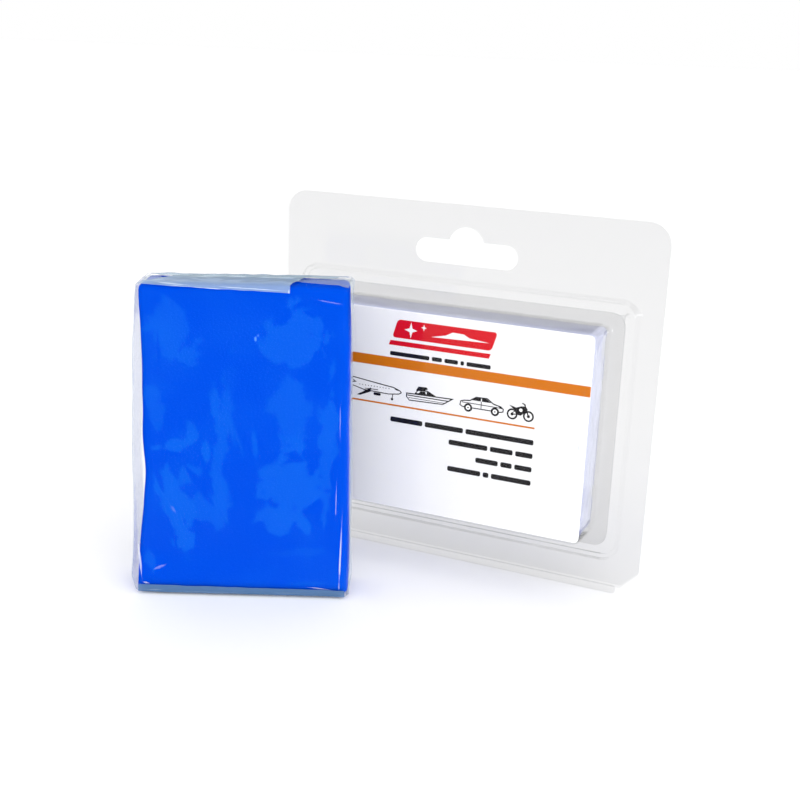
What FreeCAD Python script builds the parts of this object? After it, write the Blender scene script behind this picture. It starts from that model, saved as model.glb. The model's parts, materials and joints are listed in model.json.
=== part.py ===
import FreeCAD, Part
import math
import os

V = FreeCAD.Vector

# Detailing clay bar in a folded clear film wrap, standing in front of its clear
# clamshell pack, which holds a second wrapped bar behind a printed card.
# Row frame: origin at the centre of the loose bar's base, +Z up, the bar's broad
# front faces -Y and its width runs along X. All sizes in millimetres.

# ---- clay slab
clay_w = 58.0
clay_t = 14.6
clay_h = 86.6
clay_edge = 1.3

# ---- film wrap
film_gap = 0.25      # air between clay and film
film_t = 0.2
fold_t = 0.2         # one folded layer at the ends
seam_w = 9.0         # lap seam down the back
tuck_depth = 6.4     # how far the side tucks reach in over the ends
fold_in = 1.7        # fold lines start this far in from the rounded corners
flap_share = 0.82    # how much of the end's depth a flap covers

# ---- clamshell sheet and outline
sheet = 0.4
flange_rim = 6.5     # flat flange beside the step
flange_foot = 8.6    # and below it
flange_head = 22.0   # and above it, with the hang slot
corner_r = 6.5
foot_chamfer = 5.0
flange_gap = 0.2     # between the two closed flanges

# ---- hinge roll along the bottom
roll_r = 1.2
roll_flat = 0.1      # depth of the flat the front flange stands on
roll_inset = 1.5     # each end of the roll stops this far inside the chamfer
hinge_clear = 0.35

# ---- hang slot
slot_w = 31.75
slot_h = 7.1
arch_r = 5.6
arch_rise = 2.0
slot_drop = 14.0     # slot centre line below the flange's top edge

# ---- snap step and pocket of the front shell
step_rim_x = 7.65    # step ledge beside the pocket
step_rim_z = 8.05    # and above and below it
step_rise = 3.0
step_r = 5.0
step_draft = 0.5
pocket_play = 0.7    # around the packed bar at the pocket's front
pocket_draft = 0.6
pocket_r = 2.0
pocket_lift = 0.8    # pocket centre above the step's centre
card_t = 0.35
card_play = 0.3
card_r = 1.5
stack_gap = 0.1      # between bar, card and pocket face

# ---- plug ridge of the back cover
plug_clear = 0.4
ridge_w = 3.2
ridge_rise = 1.9

# ---- how the pack stands
pack_x = 61.0
pack_y = 24.6
pack_yaw = 24.0

sleeve_w = clay_w + 2 * (film_gap + film_t)
sleeve_t = clay_t + 2 * (film_gap + film_t)
end_h = film_gap + 3 * fold_t
wrap_h = clay_h + 2 * end_h
pocket_w = wrap_h + 2 * pocket_play
pocket_h = sleeve_w + 2 * pocket_play
step_w = pocket_w + 2 * step_rim_x
step_h = pocket_h + 2 * step_rim_z
flange_w = step_w + 2 * flange_rim
flange_h = flange_foot + step_h + flange_head
roll_l = flange_w - 2 * (foot_chamfer + roll_inset)
flange_z = 2 * roll_r - roll_flat
slot_z = flange_z + flange_h - slot_drop
bar_back = 0.2       # packed bar's back face in front of the flange plane
step_mid = flange_z + flange_foot + step_h / 2
pocket_mid = step_mid + pocket_lift
card_front = bar_back + sleeve_t + stack_gap + card_t
pocket_in = card_front + stack_gap

os.makedirs("parts", exist_ok=True)


def save(name, shape):
    shape.exportStep(os.path.join("parts", name + ".step"))


def block(x0, x1, y0, y1, z0, z1):
    return Part.makeBox(x1 - x0, y1 - y0, z1 - z0, V(x0, y0, z0))


def rounded_wire(w, h, r, mid_z, y):
    """Rounded rectangle in an XZ plane, centred on x = 0 and mid_z."""
    a, b, c = w / 2, h / 2, math.sqrt(0.5) * r
    edges = []
    corners = [(1, 1), (-1, 1), (-1, -1), (1, -1)]
    starts = []
    for i, (sx, sz) in enumerate(corners):
        cx, cz = sx * (a - r), mid_z + sz * (b - r)
        on_x = V(cx + sx * r, y, cz)
        on_z = V(cx, y, cz + sz * r)
        mid = V(cx + sx * c, y, cz + sz * c)
        first, last = (on_x, on_z) if i % 2 == 0 else (on_z, on_x)
        edges.append(Part.Arc(first, mid, last).toShape())
        starts.append((first, last))
    ring = []
    for i in range(4):
        ring.append(edges[i])
        ring.append(Part.makeLine(starts[i][1], starts[(i + 1) % 4][0]))
    return Part.Wire(ring)


def tray(w, h, r, mid_z, y_back, y_front, draft):
    """Drafted block with rounded corners, narrower towards the front."""
    back = rounded_wire(w + 2 * draft, h + 2 * draft, r + draft, mid_z, y_back)
    front = rounded_wire(w, h, r, mid_z, y_front)
    return Part.makeLoft([back, front], True, True)


def plate(points, z0, z1):
    ring = [V(x, y, z0) for x, y in points]
    return Part.Face(Part.makePolygon(ring + ring[:1])).extrude(V(0, 0, z1 - z0))


# ---- wrapped bar: every piece of it, standing on its end, base centre at the origin
def round_edges(body, r, axis):
    picked = []
    for e in body.Edges:
        run = e.Vertexes[0].Point - e.Vertexes[1].Point
        if abs(abs(run.normalize().dot(axis)) - 1) < 1e-6:
            picked.append(e)
    return body.makeFillet(r, picked)


def sleeve_block(grow, z0, z1):
    w, t = clay_w / 2 + grow, clay_t / 2 + grow
    return round_edges(block(-w, w, -t, t, z0, z1), clay_edge + grow, V(0, 0, 1))


def wrapped_bar():
    z0, z1 = end_h, end_h + clay_h
    w, t = clay_w / 2, clay_t / 2
    clay = block(-w, w, -t, t, z0, z1)
    clay = clay.makeFillet(clay_edge, clay.Edges)
    low, high = z0 - film_gap, z1 + film_gap
    outer = sleeve_block(film_gap + film_t, low, high)
    sleeve = outer.cut(sleeve_block(film_gap, low - 1, high + 1))
    back = sleeve_t / 2
    seam = block(-seam_w / 2, seam_w / 2, back, back + film_t, low + 2, high - 2)
    pieces = {"clay_block": clay, "film_sleeve": sleeve, "film_lap_seam": seam}
    half_w, half_t = sleeve_w / 2, sleeve_t / 2
    reach = flap_share * sleeve_t
    foot, tip = half_t - fold_in, half_w - tuck_depth
    for end, z, up in (("top", high, 1), ("bottom", low, -1)):
        levels = [z + up * fold_t * k for k in range(4)]
        spans = [sorted(levels[k:k + 2]) for k in range(3)]
        for side, s in (("left", -1), ("right", 1)):
            ear = [(s * half_w, -foot), (s * half_w, foot), (s * tip, 1.2), (s * tip, -1.2)]
            pieces["%s_%s_tuck" % (end, side)] = plate(ear, *spans[0])
        for name, s, span in (("inner", 1, spans[1]), ("outer", -1, spans[2])):
            near_y, far_y = s * half_t, s * (half_t - reach)
            near_x, far_x = half_w - fold_in, half_w - fold_in - reach
            flap = plate([(-near_x, near_y), (near_x, near_y), (far_x, far_y), (-far_x, far_y)], *span)
            bend = sorted([near_y, near_y - s * film_t])
            rise = sorted([z, sum(span) / 2])
            pieces["%s_%s_flap" % (end, name)] = flap.fuse(
                block(-near_x, near_x, bend[0], bend[1], rise[0], rise[1])).removeSplitter()
    return pieces


# ---- clamshell, built facing -Y with its flange plane at y = 0
def flange_plate(y0, y1, z0):
    w, top = flange_w / 2, flange_z + flange_h
    c = foot_chamfer
    k = corner_r * (1 - math.sqrt(0.5))
    ring = [
        Part.makeLine(V(-w + c, y0, z0), V(w - c, y0, z0)),
        Part.makeLine(V(w - c, y0, z0), V(w, y0, flange_z + c)),
        Part.makeLine(V(w, y0, flange_z + c), V(w, y0, top - corner_r)),
        Part.Arc(V(w, y0, top - corner_r), V(w - k, y0, top - k), V(w - corner_r, y0, top)).toShape(),
        Part.makeLine(V(w - corner_r, y0, top), V(-w + corner_r, y0, top)),
        Part.Arc(V(-w + corner_r, y0, top), V(-w + k, y0, top - k), V(-w, y0, top - corner_r)).toShape(),
        Part.makeLine(V(-w, y0, top - corner_r), V(-w, y0, flange_z + c)),
        Part.makeLine(V(-w, y0, flange_z + c), V(-w + c, y0, z0)),
    ]
    return Part.Face(Part.Wire(ring)).extrude(V(0, y1 - y0, 0))


def hang_slot():
    z, r = slot_z, slot_h / 2
    reach = slot_w / 2 - r
    y = V(0, 1, 0)
    cut = block(-reach, reach, -3, 3, z - r, z + r)
    for s in (-1, 1):
        cut = cut.fuse(Part.makeCylinder(r, 6, V(s * reach, -3, z), y))
    return cut.fuse(Part.makeCylinder(arch_r, 6, V(0, -3, z + arch_rise), y)).removeSplitter()


def front_shell():
    f = -sheet
    solid = flange_plate(f, 0, flange_z)
    solid = solid.fuse(tray(step_w, step_h, step_r, step_mid, 0, f - step_rise, step_draft))
    solid = solid.fuse(tray(pocket_w + 2 * sheet, pocket_h + 2 * sheet, pocket_r + sheet,
                            pocket_mid, 0, -pocket_in - sheet, pocket_draft))
    room = tray(step_w - 2 * sheet, step_h - 2 * sheet, step_r - sheet, step_mid,
                0, -step_rise, step_draft)
    room = room.fuse(tray(pocket_w, pocket_h, pocket_r, pocket_mid, 0, -pocket_in, pocket_draft))
    return solid.cut(room).cut(hang_slot()).removeSplitter()


def hinge_roll():
    x = V(1, 0, 0)
    mid = flange_gap / 2
    roll = Part.makeCylinder(roll_r, roll_l, V(-roll_l / 2, mid, roll_r), x)
    top = block(-roll_l, roll_l, mid - roll_r, mid + roll_r, flange_z, flange_z + 1)
    return roll.cut(top)


def back_shell():
    y0 = flange_gap
    y1 = flange_gap + sheet
    foot = roll_r + math.sqrt((roll_r + hinge_clear) ** 2 - (flange_gap / 2) ** 2)
    solid = flange_plate(y0, y1, foot)
    reach = -ridge_rise
    in_w = step_w - 2 * sheet - 2 * plug_clear
    in_h = step_h - 2 * sheet - 2 * plug_clear
    r = step_r - sheet - plug_clear
    lift = tray(in_w, in_h, r, step_mid, y0, reach, step_draft)
    core = tray(in_w - 2 * ridge_w, in_h - 2 * ridge_w, r, step_mid, y0 + 0.01, reach - 0.01, -step_draft)
    ridge = lift.cut(core)
    groove = tray(in_w - 2 * sheet, in_h - 2 * sheet, r - sheet, step_mid, y1, reach + sheet, step_draft)
    wall = tray(in_w - 2 * ridge_w + 2 * sheet, in_h - 2 * ridge_w + 2 * sheet, r + sheet,
                step_mid, y1 + 0.01, reach + sheet - 0.01, -step_draft)
    groove = groove.cut(wall)
    return solid.fuse(ridge).cut(groove).cut(hang_slot()).removeSplitter()


def label_card():
    w, h = pocket_w - 2 * card_play, pocket_h - 2 * card_play
    face = Part.Face(rounded_wire(w, h, card_r, pocket_mid, -card_front))
    return face.extrude(V(0, card_t, 0))


def set_in_pack(shape):
    placed = shape.copy()
    placed.rotate(V(0, 0, 0), V(0, 0, 1), -pack_yaw)
    placed.translate(V(pack_x, pack_y, 0))
    return placed


loose = wrapped_bar()
for name, shape in loose.items():
    save(name, shape)

for name, shape in wrapped_bar().items():
    inner = shape.copy()
    inner.translate(V(0, 0, -wrap_h / 2))
    inner.rotate(V(0, 0, 0), V(0, 1, 0), 90)
    inner.translate(V(0, -bar_back - sleeve_t / 2, pocket_mid))
    save("packed_" + name, set_in_pack(inner))

save("front_shell", set_in_pack(front_shell()))
save("hinge_roll", set_in_pack(hinge_roll()))
save("label_card", set_in_pack(label_card()))
save("back_shell", set_in_pack(back_shell()))
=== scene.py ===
import json
import math

import bmesh
import bpy
from mathutils import Matrix, Vector, noise


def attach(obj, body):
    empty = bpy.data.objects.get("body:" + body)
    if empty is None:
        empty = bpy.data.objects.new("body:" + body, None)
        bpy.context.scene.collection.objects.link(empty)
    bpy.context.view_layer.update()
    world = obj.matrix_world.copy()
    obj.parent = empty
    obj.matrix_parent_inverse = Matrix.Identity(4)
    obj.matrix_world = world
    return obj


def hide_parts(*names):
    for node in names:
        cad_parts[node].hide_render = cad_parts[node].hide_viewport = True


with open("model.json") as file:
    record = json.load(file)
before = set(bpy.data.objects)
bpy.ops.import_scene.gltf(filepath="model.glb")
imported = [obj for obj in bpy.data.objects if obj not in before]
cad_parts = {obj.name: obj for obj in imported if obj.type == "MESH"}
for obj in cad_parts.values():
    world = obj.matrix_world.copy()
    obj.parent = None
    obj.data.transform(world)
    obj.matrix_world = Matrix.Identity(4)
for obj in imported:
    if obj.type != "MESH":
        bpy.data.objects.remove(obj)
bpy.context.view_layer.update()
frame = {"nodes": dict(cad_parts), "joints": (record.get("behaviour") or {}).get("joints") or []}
print("frame loaded")

mm = 0.001
toMetres = Matrix.Scale(mm, 4)

hinge = next(j for j in frame["joints"] if j["name"] == "cover_hinge")
hingeAxis = Vector(hinge["axis"])
packTurn = math.atan2(-hingeAxis.y, -hingeAxis.x)
rollAt = {"y": 0.1, "z": 1.2}  # hinge axis in the pack's own frame, mm
packTurned = Matrix.Rotation(packTurn, 4, "Z")
packFoot = Vector(hinge["pos_m"]) - packTurned @ Vector((0, rollAt["y"] * mm, rollAt["z"] * mm))
packPlace = Matrix.Translation(packFoot) @ packTurned  # pack frame: X across, -Y to the front, Z up
barPlace = Matrix.Identity(4)


# lowest and highest corner of a CAD node in a placed frame, in mm
def cadSpan(name, place):
    back = place.inverted()
    points = [back @ v.co / mm for v in frame["nodes"][name].data.vertices]
    low = [min(p[k] for p in points) for k in range(3)]
    high = [max(p[k] for p in points) for k in range(3)]
    return Vector(low), Vector(high)


endHigh = cadSpan("top_outer_flap", barPlace)[1].z
packedLow, packedHigh = cadSpan("packed_film_sleeve", packPlace)
packedMiddle = (packedLow + packedHigh) / 2
cardLow, cardHigh = cadSpan("label_card", packPlace)
shellLow, shellHigh = cadSpan("front_shell", packPlace)
# upright bar frame to the bar lying across the pocket
packedPlace = (packPlace @ Matrix.Translation(Vector((packedMiddle.x, packedMiddle.y, packedMiddle.z)) * mm)
               @ Matrix.Rotation(math.radians(90), 4, "Y")
               @ Matrix.Translation(Vector((0, 0, -endHigh / 2)) * mm))


def smooth01(a, b, v):
    t = min(1.0, max(0.0, (v - a) / (b - a)))
    return t * t * (3 - 2 * t)


def wobble(x, y, z, size, seed=0.0):
    return noise.noise(Vector((x / size + seed, y / size - seed, z / size + 2 * seed)))


# flat facets with sharp creases between them, about 0 to 1
def crumple(x, y, z, size, seed=0.0):
    near = noise.voronoi(Vector((x / size + seed, y / size, z / size - seed)))[0]
    return min(1.0, (near[1] - near[0]) * 1.6)


def newPiece(name, bm, place, body, materials, replaced=(), angle=40, finish=()):
    bmesh.ops.transform(bm, matrix=place @ toMetres, verts=bm.verts)
    mesh = bpy.data.meshes.new(name)
    bm.to_mesh(mesh)
    bm.free()
    for material in materials:
        mesh.materials.append(material)
    mesh.polygons.foreach_set("use_smooth", [True] * len(mesh.polygons))
    mesh.set_sharp_from_angle(angle=math.radians(angle))
    piece = bpy.data.objects.new(name, mesh)
    bpy.context.scene.collection.objects.link(piece)
    for kind, values in finish:
        made = piece.modifiers.new(kind.lower(), kind)
        for key, value in values.items():
            setattr(made, key, value)
    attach(piece, body)
    if replaced:
        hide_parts(*replaced)
    return piece


# edges of a rounded rectangle, in XZ when upright and in XY when not
def roundedLoop(bm, w, h, r, steps, upright=True, at=(0, 0, 0), cuts=(0, 0)):
    made = bmesh.ops.create_grid(bm, x_segments=1, y_segments=1, size=0.5)["verts"]
    bmesh.ops.scale(bm, vec=(w, h, 1), verts=made)
    out = bmesh.ops.bevel(bm, geom=made, offset=r, offset_type="OFFSET", segments=steps,
                          profile=0.5, affect="VERTICES", material=-1)
    face = next(f for f in bm.faces if f.verts[0] in set(out["verts"]))
    if any(cuts):
        for edge in list(face.edges):
            run = edge.verts[0].co - edge.verts[1].co
            if abs(run.x) > w / 3 and cuts[0]:
                bmesh.ops.subdivide_edges(bm, edges=[edge], cuts=cuts[0])
            elif abs(run.y) > h / 3 and cuts[1]:
                bmesh.ops.subdivide_edges(bm, edges=[edge], cuts=cuts[1])
    verts, edges = list(face.verts), list(face.edges)
    bmesh.ops.delete(bm, geom=[face], context="FACES_ONLY")
    if upright:
        bmesh.ops.rotate(bm, cent=(0, 0, 0), matrix=Matrix.Rotation(math.radians(90), 3, "X"), verts=verts)
    bmesh.ops.translate(bm, vec=at, verts=verts)
    return edges


def addNode(tree, kind, values=None, **settings):
    made = tree.nodes.new(kind)
    for key, value in settings.items():
        setattr(made, key, value)
    for key, value in (values or {}).items():
        made.inputs[key].default_value = value
    return made


def newMaterial(name):
    made = bpy.data.materials.new(name)
    made.use_nodes = True
    made.node_tree.nodes.clear()
    return made, made.node_tree


def newGroup(name, inputs, outputs):
    group = bpy.data.node_groups.new(name, "ShaderNodeTree")
    for label, kind, value in inputs:
        socket = group.interface.new_socket(label, in_out="INPUT", socket_type=kind)
        if value is not None:
            socket.default_value = value
    for label, kind in outputs:
        group.interface.new_socket(label, in_out="OUTPUT", socket_type=kind)
    return group, group.nodes.new("NodeGroupInput"), group.nodes.new("NodeGroupOutput")


def useGroup(tree, group, values=None):
    made = tree.nodes.new("ShaderNodeGroup")
    made.node_tree = group
    for key, value in (values or {}).items():
        made.inputs[key].default_value = value
    return made


def math2(tree, operation, a, b=None, clamp=False):
    made = addNode(tree, "ShaderNodeMath", operation=operation, use_clamp=clamp)
    for k, value in enumerate((a, b)):
        if value is None:
            continue
        if hasattr(value, "is_output"):
            tree.links.new(value, made.inputs[k])
        else:
            made.inputs[k].default_value = value
    return made.outputs[0]


def mixColour(tree, factor, a, b, blend="MIX"):
    made = addNode(tree, "ShaderNodeMix", data_type="RGBA", blend_type=blend)
    for socket, value in ((made.inputs[0], factor), (made.inputs[6], a), (made.inputs[7], b)):
        if hasattr(value, "is_output"):
            tree.links.new(value, socket)
        else:
            socket.default_value = value
    return made.outputs[2]


# soft-edged blot at a place on the surface, its outline broken up by noise
blotGroup, gi, go = newGroup(
    "blot",
    [("Vector", "NodeSocketVector", None), ("Centre", "NodeSocketVector", (0, 0, 0)),
     ("Size", "NodeSocketVector", (0.005, 0.02, 0.005)), ("Turn", "NodeSocketFloat", 0.0),
     ("Ragged", "NodeSocketFloat", 0.5), ("Edge", "NodeSocketFloat", 0.12)],
    [("Mask", "NodeSocketFloat")])
shift = addNode(blotGroup, "ShaderNodeVectorMath", operation="SUBTRACT")
turn = addNode(blotGroup, "ShaderNodeVectorRotate", rotation_type="Y_AXIS")
fit = addNode(blotGroup, "ShaderNodeVectorMath", operation="DIVIDE")
size = addNode(blotGroup, "ShaderNodeVectorMath", operation="LENGTH")
folded = addNode(blotGroup, "ShaderNodeVectorMath", operation="ABSOLUTE")
# a diamond, so ends come to a point
pointed = addNode(blotGroup, "ShaderNodeVectorMath", operation="DOT_PRODUCT")
pointed.inputs[1].default_value = (1.0, 1.0, 1.0)
rag = addNode(blotGroup, "ShaderNodeTexNoise",
              {"Scale": 190.0, "Detail": 5.0, "Roughness": 0.6, "Distortion": 0.6})
blotGroup.links.new(gi.outputs["Vector"], shift.inputs[0])
blotGroup.links.new(gi.outputs["Centre"], shift.inputs[1])
blotGroup.links.new(shift.outputs[0], turn.inputs["Vector"])
blotGroup.links.new(gi.outputs["Turn"], turn.inputs["Angle"])
blotGroup.links.new(turn.outputs[0], fit.inputs[0])
blotGroup.links.new(gi.outputs["Size"], fit.inputs[1])
blotGroup.links.new(fit.outputs[0], size.inputs[0])
blotGroup.links.new(fit.outputs[0], folded.inputs[0])
blotGroup.links.new(folded.outputs[0], pointed.inputs[0])
blotGroup.links.new(gi.outputs["Vector"], rag.inputs["Vector"])
shard = addNode(blotGroup, "ShaderNodeTexVoronoi", {"Scale": 300.0})
blotGroup.links.new(gi.outputs["Vector"], shard.inputs["Vector"])
apart = addNode(blotGroup, "ShaderNodeSeparateColor")
blotGroup.links.new(shard.outputs["Color"], apart.inputs[0])
rough = math2(blotGroup, "ADD", math2(blotGroup, "SUBTRACT", rag.outputs[0], 0.5),
              math2(blotGroup, "MULTIPLY", math2(blotGroup, "SUBTRACT", apart.outputs[0], 0.5), 0.26))
jitter = math2(blotGroup, "MULTIPLY", rough, gi.outputs["Ragged"])
shape = math2(blotGroup, "MULTIPLY",
              math2(blotGroup, "ADD", size.outputs["Value"], pointed.outputs["Value"]), 0.5)
far = math2(blotGroup, "ADD", shape, math2(blotGroup, "MULTIPLY", jitter, 4.0))
inside = math2(blotGroup, "SUBTRACT", 1.0, far)
blotGroup.links.new(math2(blotGroup, "DIVIDE", inside, gi.outputs["Edge"], clamp=True), go.inputs["Mask"])

# slow colour drift and fine grain, shared by the clay, the card and the floor
driftGroup, gi, go = newGroup(
    "drift",
    [("Vector", "NodeSocketVector", None), ("Broad", "NodeSocketFloat", 30.0),
     ("Fine", "NodeSocketFloat", 900.0)],
    [("Broad", "NodeSocketFloat"), ("Fine", "NodeSocketFloat")])
broad = addNode(driftGroup, "ShaderNodeTexNoise", {"Detail": 4.0, "Roughness": 0.5})
fine = addNode(driftGroup, "ShaderNodeTexNoise", {"Detail": 3.0, "Roughness": 0.6})
for made, label in ((broad, "Broad"), (fine, "Fine")):
    driftGroup.links.new(gi.outputs["Vector"], made.inputs["Vector"])
    driftGroup.links.new(gi.outputs[label], made.inputs["Scale"])
    driftGroup.links.new(made.outputs[0], go.inputs[label])

# small facets and stretched ripples of thin plastic, as a bump height
rippleGroup, gi, go = newGroup(
    "ripple",
    [("Vector", "NodeSocketVector", None), ("Facet", "NodeSocketFloat", 120.0),
     ("Wave", "NodeSocketFloat", 60.0)],
    [("Height", "NodeSocketFloat")])
facet = addNode(rippleGroup, "ShaderNodeTexVoronoi", feature="SMOOTH_F1")
facet.inputs["Smoothness"].default_value = 0.35
wave = addNode(rippleGroup, "ShaderNodeTexNoise", {"Detail": 2.0, "Roughness": 0.45, "Distortion": 0.8})
for made, label in ((facet, "Facet"), (wave, "Wave")):
    rippleGroup.links.new(gi.outputs["Vector"], made.inputs["Vector"])
    rippleGroup.links.new(gi.outputs[label], made.inputs["Scale"])
height = math2(rippleGroup, "ADD", math2(rippleGroup, "MULTIPLY", facet.outputs["Distance"], 0.5),
               wave.outputs[0])
rippleGroup.links.new(height, go.inputs["Height"])
print("shader groups made")

clayLook = {
    "deep": (0.0, 0.058, 0.565, 1.0),
    "light": (0.003, 0.092, 0.585, 1.0),
    "bubbleGlint": (0.10, 0.30, 0.95, 1.0),
    # lighter patches, painted reflection of the film where it stands off the clay: centre x and z, half sizes
    # x and z in mm, turn in degrees, strength
    "reflectionBlots": [
        (-18.0, 26.0, 4.4, 12.0, 12, 1.0), (-20.5, 31.5, 3.0, 8.0, 22, 0.8),
        (-14.6, 34.5, 3.2, 5.0, -40, 0.7),
        (-8.6, 25.5, 3.6, 6.5, 30, 0.75), (-5.4, 30.0, 2.8, 7.5, 14, 0.85), (-4.6, 50.0, 2.6, 17.0, -7, 0.7),
        (-6.8, 57.0, 2.0, 6.0, 4, 0.8), (-1.5, 47.5, 1.2, 9.0, 18, 0.6), (4.2, 44.5, 0.8, 5.5, 6, 0.8),
        (13.6, 33.5, 7.6, 14.5, -10, 0.9), (9.0, 24.5, 5.5, 5.5, 20, 0.8), (17.8, 22.5, 2.0, 4.6, 26, 0.9),
        (14.5, 55.0, 6.0, 12.0, 4, 0.6), (14.5, 75.0, 8.0, 9.0, 8, 0.75), (24.6, 46.5, 2.6, 20.0, -2, 0.75),
        (-19.5, 76.5, 6.0, 9.0, 4, 0.6), (-14.0, 69.0, 4.0, 5.5, -34, 0.6), (-17.6, 44.2, 6.0, 2.0, 16, 1.0),
        (-14.0, 48.6, 2.2, 4.2, 28, 0.75), (-9.4, 42.3, 1.4, 2.8, 0, 0.9), (-23.5, 55.0, 2.4, 6.0, 8, 0.6),
        (17.5, 13.5, 9.0, 1.4, 4, 0.35), (-25.2, 10.0, 1.6, 3.4, 12, 0.7), (20.0, 4.2, 6.0, 0.7, 3, 0.5),
    ],
    # the same, for crease lines painted darker as shade: they take the painted reflection away so the deep
    # blue shows
    "shadedCreases": [
        (-20.5, 63.6, 6.2, 0.8, -30, 1.0), (-15.5, 67.2, 2.2, 0.7, -18, 1.0), (-22.0, 71.0, 0.5, 6.5, 2, 0.9),
        (-20.0, 41.6, 5.6, 0.9, -4, 1.0), (-22.6, 35.0, 1.0, 4.8, 16, 0.9), (-11.6, 33.0, 1.2, 6.0, 34, 0.8),
        (-16.6, 52.0, 1.4, 5.0, 16, 0.8), (-2.2, 62.5, 1.4, 7.0, 10, 0.5), (0.4, 40.0, 0.8, 7.0, 14, 0.7),
        (20.8, 60.0, 0.7, 14.0, -4, 0.5), (-10.0, 60.0, 3.0, 3.6, 0, 0.4),
    ],
    # tiny bright spots, painted highlights of air bubbles: centre x and z, half sizes x and z in mm
    "bubbleGlints": [(4.2, 75.2, 0.35, 0.8), (4.9, 76.0, 0.3, 0.4), (-5.2, 71.6, 0.3, 0.35),
               (0.6, 26.3, 0.2, 0.25)],
}
clayMaterial, tree = newMaterial("blueClay")
coords = addNode(tree, "ShaderNodeTexCoord")
drift = useGroup(tree, driftGroup, {"Broad": 45.0, "Fine": 1400.0})
tree.links.new(coords.outputs["Object"], drift.inputs["Vector"])
# painted reflection: the patches, with a random broad drift, lift the deep blue towards the paler blue
reflectionAndDrift = paintedCreaseLight = None
for x, z, w, h, turned, strength in clayLook["reflectionBlots"]:
    blot = useGroup(tree, blotGroup, {"Centre": (x * mm, -7.3 * mm, z * mm), "Size": (w * mm, 0.02, h * mm),
                                      "Turn": math.radians(turned), "Ragged": 0.55, "Edge": 0.05})
    tree.links.new(coords.outputs["Object"], blot.inputs["Vector"])
    part = math2(tree, "MULTIPLY", blot.outputs[0], strength)
    reflectionAndDrift = part if reflectionAndDrift is None else math2(tree, "MAXIMUM", reflectionAndDrift, part)
# crease lines painted darker as shade, by subtracting them from the painted reflection
for x, z, w, h, turned, strength in clayLook["shadedCreases"]:
    blot = useGroup(tree, blotGroup, {"Centre": (x * mm, -7.3 * mm, z * mm), "Size": (w * mm, 0.02, h * mm),
                                      "Turn": math.radians(turned), "Ragged": 0.5, "Edge": 0.12})
    tree.links.new(coords.outputs["Object"], blot.inputs["Vector"])
    part = math2(tree, "MULTIPLY", blot.outputs[0], strength)
    paintedCreaseLight = part if paintedCreaseLight is None else math2(tree, "MAXIMUM", paintedCreaseLight, part)
soft = math2(tree, "MULTIPLY", math2(tree, "SUBTRACT", drift.outputs["Broad"], 0.5, clamp=True), 1.6)
reflectionAndDrift = math2(tree, "SUBTRACT", math2(tree, "ADD", reflectionAndDrift, soft, clamp=True), paintedCreaseLight, clamp=True)
colour = mixColour(tree, reflectionAndDrift, clayLook["deep"], clayLook["light"])
# painted highlights of small air bubbles, mixed towards the bright blue
bubbleGlint = None
for x, z, w, h in clayLook["bubbleGlints"]:
    blot = useGroup(tree, blotGroup, {"Centre": (x * mm, -7.3 * mm, z * mm), "Size": (w * mm, 0.004, h * mm),
                                      "Ragged": 0.9, "Edge": 0.3})
    tree.links.new(coords.outputs["Object"], blot.inputs["Vector"])
    bubbleGlint = blot.outputs[0] if bubbleGlint is None else math2(tree, "MAXIMUM", bubbleGlint, blot.outputs[0])
colour = mixColour(tree, math2(tree, "MULTIPLY", bubbleGlint, 0.7), colour, clayLook["bubbleGlint"])
clay = addNode(tree, "ShaderNodeBsdfPrincipled", {"Roughness": 0.5, "IOR": 1.46, "Specular IOR Level": 0.0})
tree.links.new(colour, clay.inputs["Base Color"])
rough = math2(tree, "ADD", 0.4, math2(tree, "MULTIPLY", drift.outputs["Fine"], 0.25))
tree.links.new(rough, clay.inputs["Roughness"])
bump = addNode(tree, "ShaderNodeBump", {"Strength": 0.35, "Distance": 0.0001})
tree.links.new(drift.outputs["Fine"], bump.inputs["Height"])
tree.links.new(bump.outputs[0], clay.inputs["Normal"])
out = addNode(tree, "ShaderNodeOutputMaterial")
tree.links.new(clay.outputs[0], out.inputs["Surface"])


filmLook = {
    # painted highlights along creases on the loose bar: centre x, y, z, half sizes x, y, z in mm, turn in
    # degrees, strength
    "glints": [
        (28.6, -8, 14.0, 0.3, 6, 13.0, -1, 0.4), (27.0, -8, 31.0, 0.16, 6, 8.0, 0, 0.26),
        (27.6, -8, 52.0, 0.14, 6, 9.0, 1, 0.18), (-27.9, -8, 9.0, 0.3, 6, 8.0, 6, 0.4),
        (-26.2, -8, 3.4, 1.6, 6, 0.35, -14, 0.35), (23.0, -8, 3.0, 4.5, 6, 0.22, -5, 0.3),
        (-22.5, -8, 8.0, 2.2, 6, 0.5, 24, 0.12), (24.2, -8, 86.0, 4.0, 6, 0.2, -8, 0.14),
        (-27.0, -8, 45.0, 0.16, 6, 16.0, 1, 0.16), (-18.5, -8, 25.5, 0.5, 6, 1.6, 30, 0.05),
    ],
    # painted highlights the same way along the folded lip at the top
    "lipGlints": [
        (-4.0, -8, 88.35, 18.0, 3, 0.16, -2.6, 0.8), (3.0, -8, 88.9, 10.5, 3, 0.12, -1.5, 0.6),
        (-19.0, -8, 89.4, 7.0, 3, 0.15, -2, 0.5), (13.1, -8, 88.3, 0.2, 3, 1.0, 0, 0.6),
    ],
    # and painted highlights along the fold under the foot
    "footGlints": [
        (-9.0, -9, 1.1, 13.0, 3, 0.14, 0, 0.6), (14.0, -9, 1.5, 9.0, 3, 0.12, 1, 0.5),
        (-24.0, -9, 1.4, 3.0, 3, 0.3, 4, 0.6), (22.5, -9, 0.8, 5.0, 3, 0.2, -2, 0.5),
    ],
}
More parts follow.
